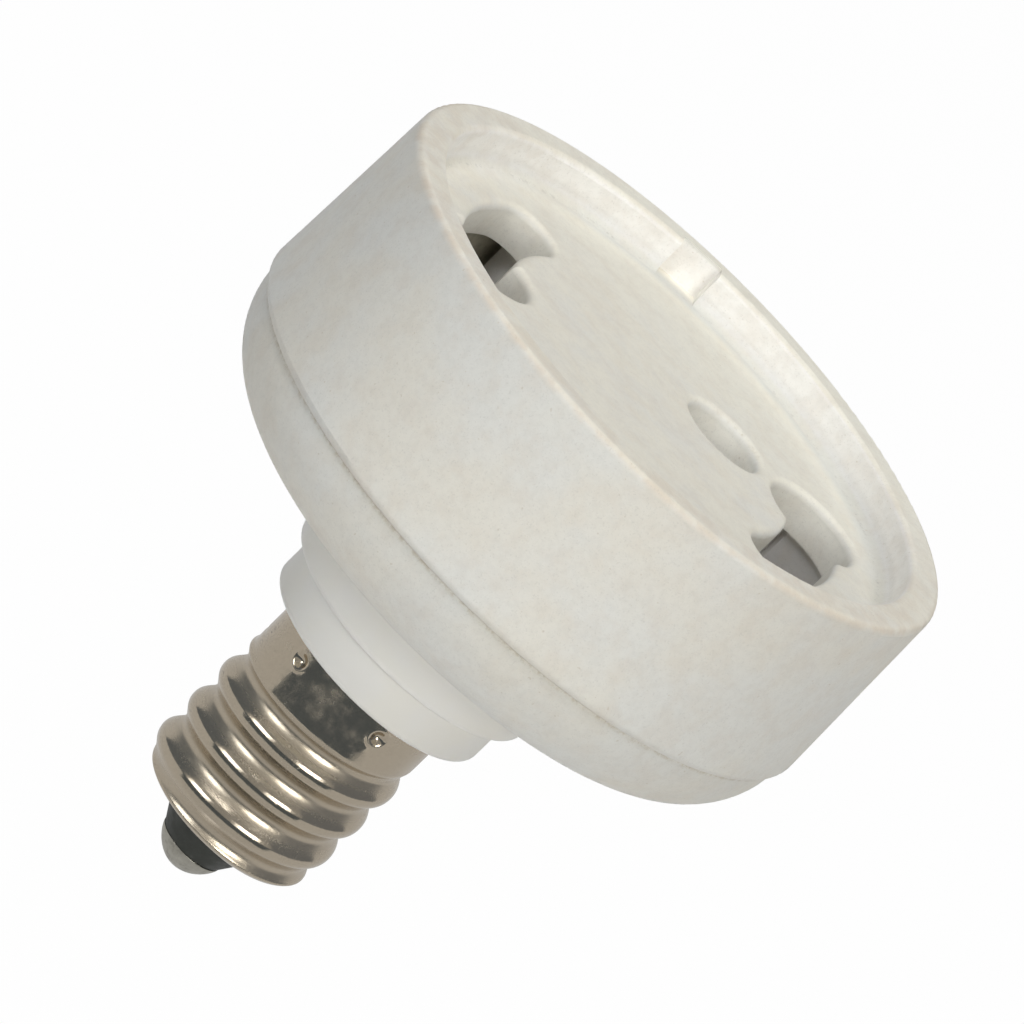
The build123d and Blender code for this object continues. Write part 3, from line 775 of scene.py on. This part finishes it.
class ADAPTER_OT_moulding(bpy.types.Operator):
    """Dress the housing and its cover"""

    bl_idname = "adapter.moulding"
    bl_label = "Housing and Cover"

    def execute(self, context):
        scene = context.scene
        moulding = moulding_finish(scene.adapter_colours, scene.adapter_body, scene.adapter_wear)
        dress(moulding, "socket_housing", "base_cover")
        return {"FINISHED"}


class ADAPTER_OT_neck(bpy.types.Operator):
    """Dress the neck"""

    bl_idname = "adapter.neck"
    bl_label = "Neck"

    def execute(self, context):
        dress(neck_finish(context.scene.adapter_colours), "neck")
        return {"FINISHED"}


class ADAPTER_OT_shell(bpy.types.Operator):
    """Make the rolled screw shell"""

    bl_idname = "adapter.shell"
    bl_label = "Screw Shell"

    def execute(self, context):
        sizes = context.scene.adapter_shell
        nickel = nickel_finish(context.scene.adapter_colours, sizes)
        add_piece("rolled_shell", shell_points(sizes), nickel, "nickel_shell", "screw_shell")
        return {"FINISHED"}


class ADAPTER_OT_tip(bpy.types.Operator):
    """Make the tinned tip and dress its insulator"""

    bl_idname = "adapter.tip"
    bl_label = "Tip"

    def execute(self, context):
        colours = context.scene.adapter_colours
        points = tip_points(context.scene.adapter_tip)
        dark = colours.nickel_dark
        tinned = metal_finish("dull tin", colours.tinned, dark, 0.5 * MM, 0.3, 0.02 * MM, 0.35)
        add_piece("tinned_tip", points, tinned, "tip_metal", "centre_contact")
        dress(insulator_finish(colours), "tip_insulator")
        return {"FINISHED"}


class ADAPTER_OT_contacts(bpy.types.Operator):
    """Dress the leaf contacts, their screws and leads, and the fixing screw"""

    bl_idname = "adapter.contacts"
    bl_label = "Contacts and Screws"

    def execute(self, context):
        colours = context.scene.adapter_colours
        dark = colours.nickel_dark
        bronze = metal_finish("spring bronze", colours.bronze, dark, 1.2 * MM, 0.45, 0.006 * MM, 0.3, 0.25)
        zinc = metal_finish("zinc plate", colours.zinc, dark, 0.8 * MM, 0.3, 0.006 * MM, 0.3)
        dress(bronze, "contact_spring_a", "contact_spring_b")
        dress(zinc, "contact_screws", "fixing_screw")
        dress(sleeve_finish(colours), "lead_centre", "lead_shell")
        return {"FINISHED"}


def seen_by_eye(nodes, links):
    """1 for what the camera sees straight, in a mirror or through glass."""
    path = nodes.new("ShaderNodeLightPath")
    seen = path.outputs["Is Camera Ray"]
    for ray in ("Is Glossy Ray", "Is Transmission Ray"):
        either = nodes.new("ShaderNodeMath")
        either.operation = "MAXIMUM"
        links.new(seen, either.inputs[0])
        links.new(path.outputs[ray], either.inputs[1])
        seen = either.outputs[0]
    return seen


def set_world(studio):
    """White room: an even ambient level on the adapter, plain white to the eye."""
    world = bpy.data.worlds.new("studio")
    bpy.context.scene.world = world
    world.use_nodes = True
    nodes, links = world.node_tree.nodes, world.node_tree.links
    background = nodes["Background"]
    background.inputs["Color"].default_value = (*WHITE, 1.0)
    level = nodes.new("ShaderNodeMapRange")
    links.new(seen_by_eye(nodes, links), level.inputs["Value"])
    level.inputs["To Min"].default_value = studio.ambient
    level.inputs["To Max"].default_value = 1.0
    links.new(level.outputs["Result"], background.inputs["Strength"])


def floor_finish(studio):
    """Pale floor that keeps a soft shadow and is white to the eye."""
    material = bpy.data.materials.new("pale floor")
    material.use_nodes = True
    nodes, links = material.node_tree.nodes, material.node_tree.links
    nodes.clear()
    output = nodes.new("ShaderNodeOutputMaterial")
    paint = nodes.new("ShaderNodeBsdfDiffuse")
    paint.inputs["Color"].default_value = (studio.floor_tone, studio.floor_tone, studio.floor_tone, 1.0)
    white = nodes.new("ShaderNodeEmission")
    white.inputs["Color"].default_value = (*WHITE, 1.0)
    share = nodes.new("ShaderNodeMath")
    share.operation = "MULTIPLY"
    links.new(seen_by_eye(nodes, links), share.inputs[0])
    share.inputs[1].default_value = studio.floor_white
    either = nodes.new("ShaderNodeMixShader")
    links.new(share.outputs[0], either.inputs["Fac"])
    links.new(paint.outputs["BSDF"], either.inputs[1])
    links.new(white.outputs["Emission"], either.inputs[2])
    links.new(either.outputs["Shader"], output.inputs["Surface"])
    return material


def add_floor(studio):
    """Square floor below the tip."""
    half = 0.5 * studio.floor_size
    corners = np.array([(-half, -half), (half, -half), (half, half), (-half, half)])
    levels = np.full((len(corners), 1), CAD_BOX[0][2] - studio.floor_drop)
    mesh = bpy.data.meshes.new("floor")
    mesh.from_pydata(np.hstack([corners, levels]), [], [(0, 1, 2, 3)])
    mesh.materials.append(floor_finish(studio))
    floor = add_object("floor", mesh)


def bearing(azimuth, elevation):
    """Unit vector at an angle round the axis and an angle above the horizontal."""
    level = math.cos(elevation)
    return Vector((level * math.cos(azimuth), level * math.sin(azimuth), math.sin(elevation)))


def add_softbox(studio, name, azimuth, elevation, watts, size, tint=WHITE, mirrored=True):
    """Square softbox that faces the adapter."""
    lamp = bpy.data.lights.new(name, "AREA")
    lamp.shape = "SQUARE"
    lamp.size = size
    lamp.energy = watts
    lamp.color = tint
    softbox = add_object(name, lamp)
    softbox.visible_glossy = mirrored
    way = bearing(azimuth, elevation)
    softbox.location = Vector(studio.aim) + studio.lamp_distance * way
    softbox.rotation_euler = way.to_track_quat("Z", "Y").to_euler()


def add_softboxes(studio):
    """Two tinted softboxes in front, two above, and two behind that no metal mirrors."""
    front, top, back = studio.front_elevation, studio.top_elevation, studio.back_elevation
    small, large = studio.front_size, studio.top_size
    softboxes = (
        ("left softbox", studio.left_azimuth, front, studio.left_power, small, studio.left_tint),
        ("right softbox", studio.right_azimuth, front, studio.right_power, small, studio.right_tint),
        ("top left softbox", studio.top_left_azimuth, top, studio.top_left_power, large),
        ("top right softbox", studio.top_right_azimuth, top, studio.top_right_power, large),
        ("back softbox", studio.back_left_azimuth, back, studio.back_power, large, WHITE, False),
        ("back softbox", studio.back_right_azimuth, back, studio.back_power, large, WHITE, False),
    )
    for softbox in softboxes:
        add_softbox(studio, *softbox)


def cloth_finish(name, tone):
    """Cloth that looks equally bright all over."""
    material = bpy.data.materials.new(name)
    material.use_nodes = True
    shader = material.node_tree.nodes["Principled BSDF"]
    shader.inputs["Base Color"].default_value = (0.0, 0.0, 0.0, 1.0)
    shader.inputs["Specular IOR Level"].default_value = 0.0
    shader.inputs["Emission Color"].default_value = (*tone, 1.0)
    shader.inputs["Emission Strength"].default_value = 1.0
    return material


def add_cloth(name, tone, distance, azimuths, elevations):
    """Cloth bent round the middle of the screw shell, between two bearings and two elevations in degrees: it
    gives the metal something to mirror, lights nothing, and keeps out of the picture."""
    turn = np.radians(np.linspace(*azimuths, CLOTH_COLUMNS))[None, :]
    rise = np.radians(np.linspace(*elevations, CLOTH_ROWS))[:, None]
    points = turned_grid(turn, np.cos(rise), np.sin(rise) + 0.0 * turn)
    points = points * distance + 0.5 * np.array(SHELL_LOW + SHELL_HIGH)
    index = np.arange(CLOTH_ROWS * CLOTH_COLUMNS).reshape(CLOTH_ROWS, CLOTH_COLUMNS)
    corners = [index[:-1, :-1], index[:-1, 1:], index[1:, 1:], index[1:, :-1]]
    mesh = bpy.data.meshes.new(name)
    mesh.from_pydata(points.reshape(-1, 3), [], np.stack(corners, axis=-1).reshape(-1, 4))
    mesh.materials.append(cloth_finish(name, tone))
    cloth = add_object(name, mesh)
    cloth.visible_camera = False
    cloth.visible_diffuse = False
    cloth.visible_shadow = False


def add_camera(studio):
    """Camera on its bearing from the aim, turned about its line of sight by the roll."""
    camera = bpy.data.cameras.new("camera")
    camera.sensor_width = studio.sensor
    camera.lens = studio.lens
    camera.clip_start = studio.clip_start
    eye = add_object("camera", camera)
    back = bearing(studio.azimuth, studio.elevation)
    level_right = Vector((0.0, 0.0, 1.0)).cross(back).normalized()
    level_up = back.cross(level_right)
    right = math.cos(studio.roll) * level_right + math.sin(studio.roll) * level_up
    up = back.cross(right)
    turned = Matrix((right, up, back)).transposed().to_4x4()
    place = Matrix.Translation(Vector(studio.aim) + studio.distance * back)
    eye.matrix_world = place @ turned
    bpy.context.scene.camera = eye


class ADAPTER_OT_stage(bpy.types.Operator):
    """Set the floor, the room, the softboxes, the cloths and the camera"""

    bl_idname = "adapter.stage"
    bl_label = "Stage"

    def execute(self, context):
        studio = context.scene.adapter_studio
        add_floor(studio)
        set_world(studio)
        add_softboxes(studio)
        for cloth in CLOTHS:
            add_cloth(*cloth)
        add_camera(studio)
        context.scene.view_settings.view_transform = "Standard"
        return {"FINISHED"}


class ADAPTER_PT_panel(bpy.types.Panel):
    """Sizes, colours and steps of the adapter"""

    bl_label = "Adapter"
    bl_idname = "ADAPTER_PT_panel"
    bl_space_type = "VIEW_3D"
    bl_region_type = "UI"
    bl_category = "Adapter"

    def draw(self, context):
        layout = self.layout
        for name in SETTINGS:
            group = getattr(context.scene, name)
            box = layout.box()
            for key in group.bl_rna.properties.keys():
                if key not in ("rna_type", "name"):
                    box.prop(group, key)
        for operator in OPERATORS:
            layout.operator(operator.bl_idname)


# Name, linear tone, distance from the shell in metres, and the two bearings and two elevations in degrees.
CLOTHS = (
    ("left cloth", (0.15, 0.17, 0.195), 0.95, (-232, -174), (-4, 50)),
    ("right cloth", (0.20, 0.215, 0.24), 0.95, (-48, 12), (-4, 50)),
    ("low cloth", (0.11, 0.13, 0.15), 0.30, (-174, -48), (-25, 3)),
    ("front cloth", (0.38, 0.38, 0.38), 0.95, (-174, -48), (3, 70)),
    ("front table cloth", (0.55, 0.55, 0.55), 0.11, (-174, -48), (-85, -25)),
    ("side table cloth", (0.60, 0.60, 0.60), 0.11, (-48, 186), (-85, -4)),
    ("side cloth", (0.60, 0.60, 0.60), 1.10, (-48, 186), (-4, 70)),
    ("left diffuser", (1.8, 1.8, 1.8), 0.90, (-167, -133), (4, 32)),
    ("right diffuser", (1.8, 1.8, 1.8), 0.90, (-97, -63), (4, 32)),
)
SETTINGS = {
    "adapter_body": BodySizes,
    "adapter_shell": ShellSizes,
    "adapter_tip": TipSizes,
    "adapter_colours": FinishColours,
    "adapter_wear": WearAmounts,
    "adapter_studio": StudioSettings,
}
OPERATORS = (
    ADAPTER_OT_stage,
    ADAPTER_OT_moulding,
    ADAPTER_OT_neck,
    ADAPTER_OT_shell,
    ADAPTER_OT_tip,
    ADAPTER_OT_contacts,
)
CLASSES = (*SETTINGS.values(), *OPERATORS, ADAPTER_PT_panel)


def register():
    """Adds the classes and their settings."""
    for cls in CLASSES:
        bpy.utils.register_class(cls)
    for name, group in SETTINGS.items():
        setattr(bpy.types.Scene, name, PointerProperty(type=group))


def unregister():
    """Takes the settings and the classes away."""
    for name in SETTINGS:
        delattr(bpy.types.Scene, name)
    for cls in reversed(CLASSES):
        bpy.utils.unregister_class(cls)


def main():
    """Runs every step in order."""
    register()
    bpy.ops.adapter.stage()
    bpy.ops.adapter.moulding()
    bpy.ops.adapter.neck()
    bpy.ops.adapter.shell()
    bpy.ops.adapter.tip()
    bpy.ops.adapter.contacts()


if __name__ == "__main__":
    main()
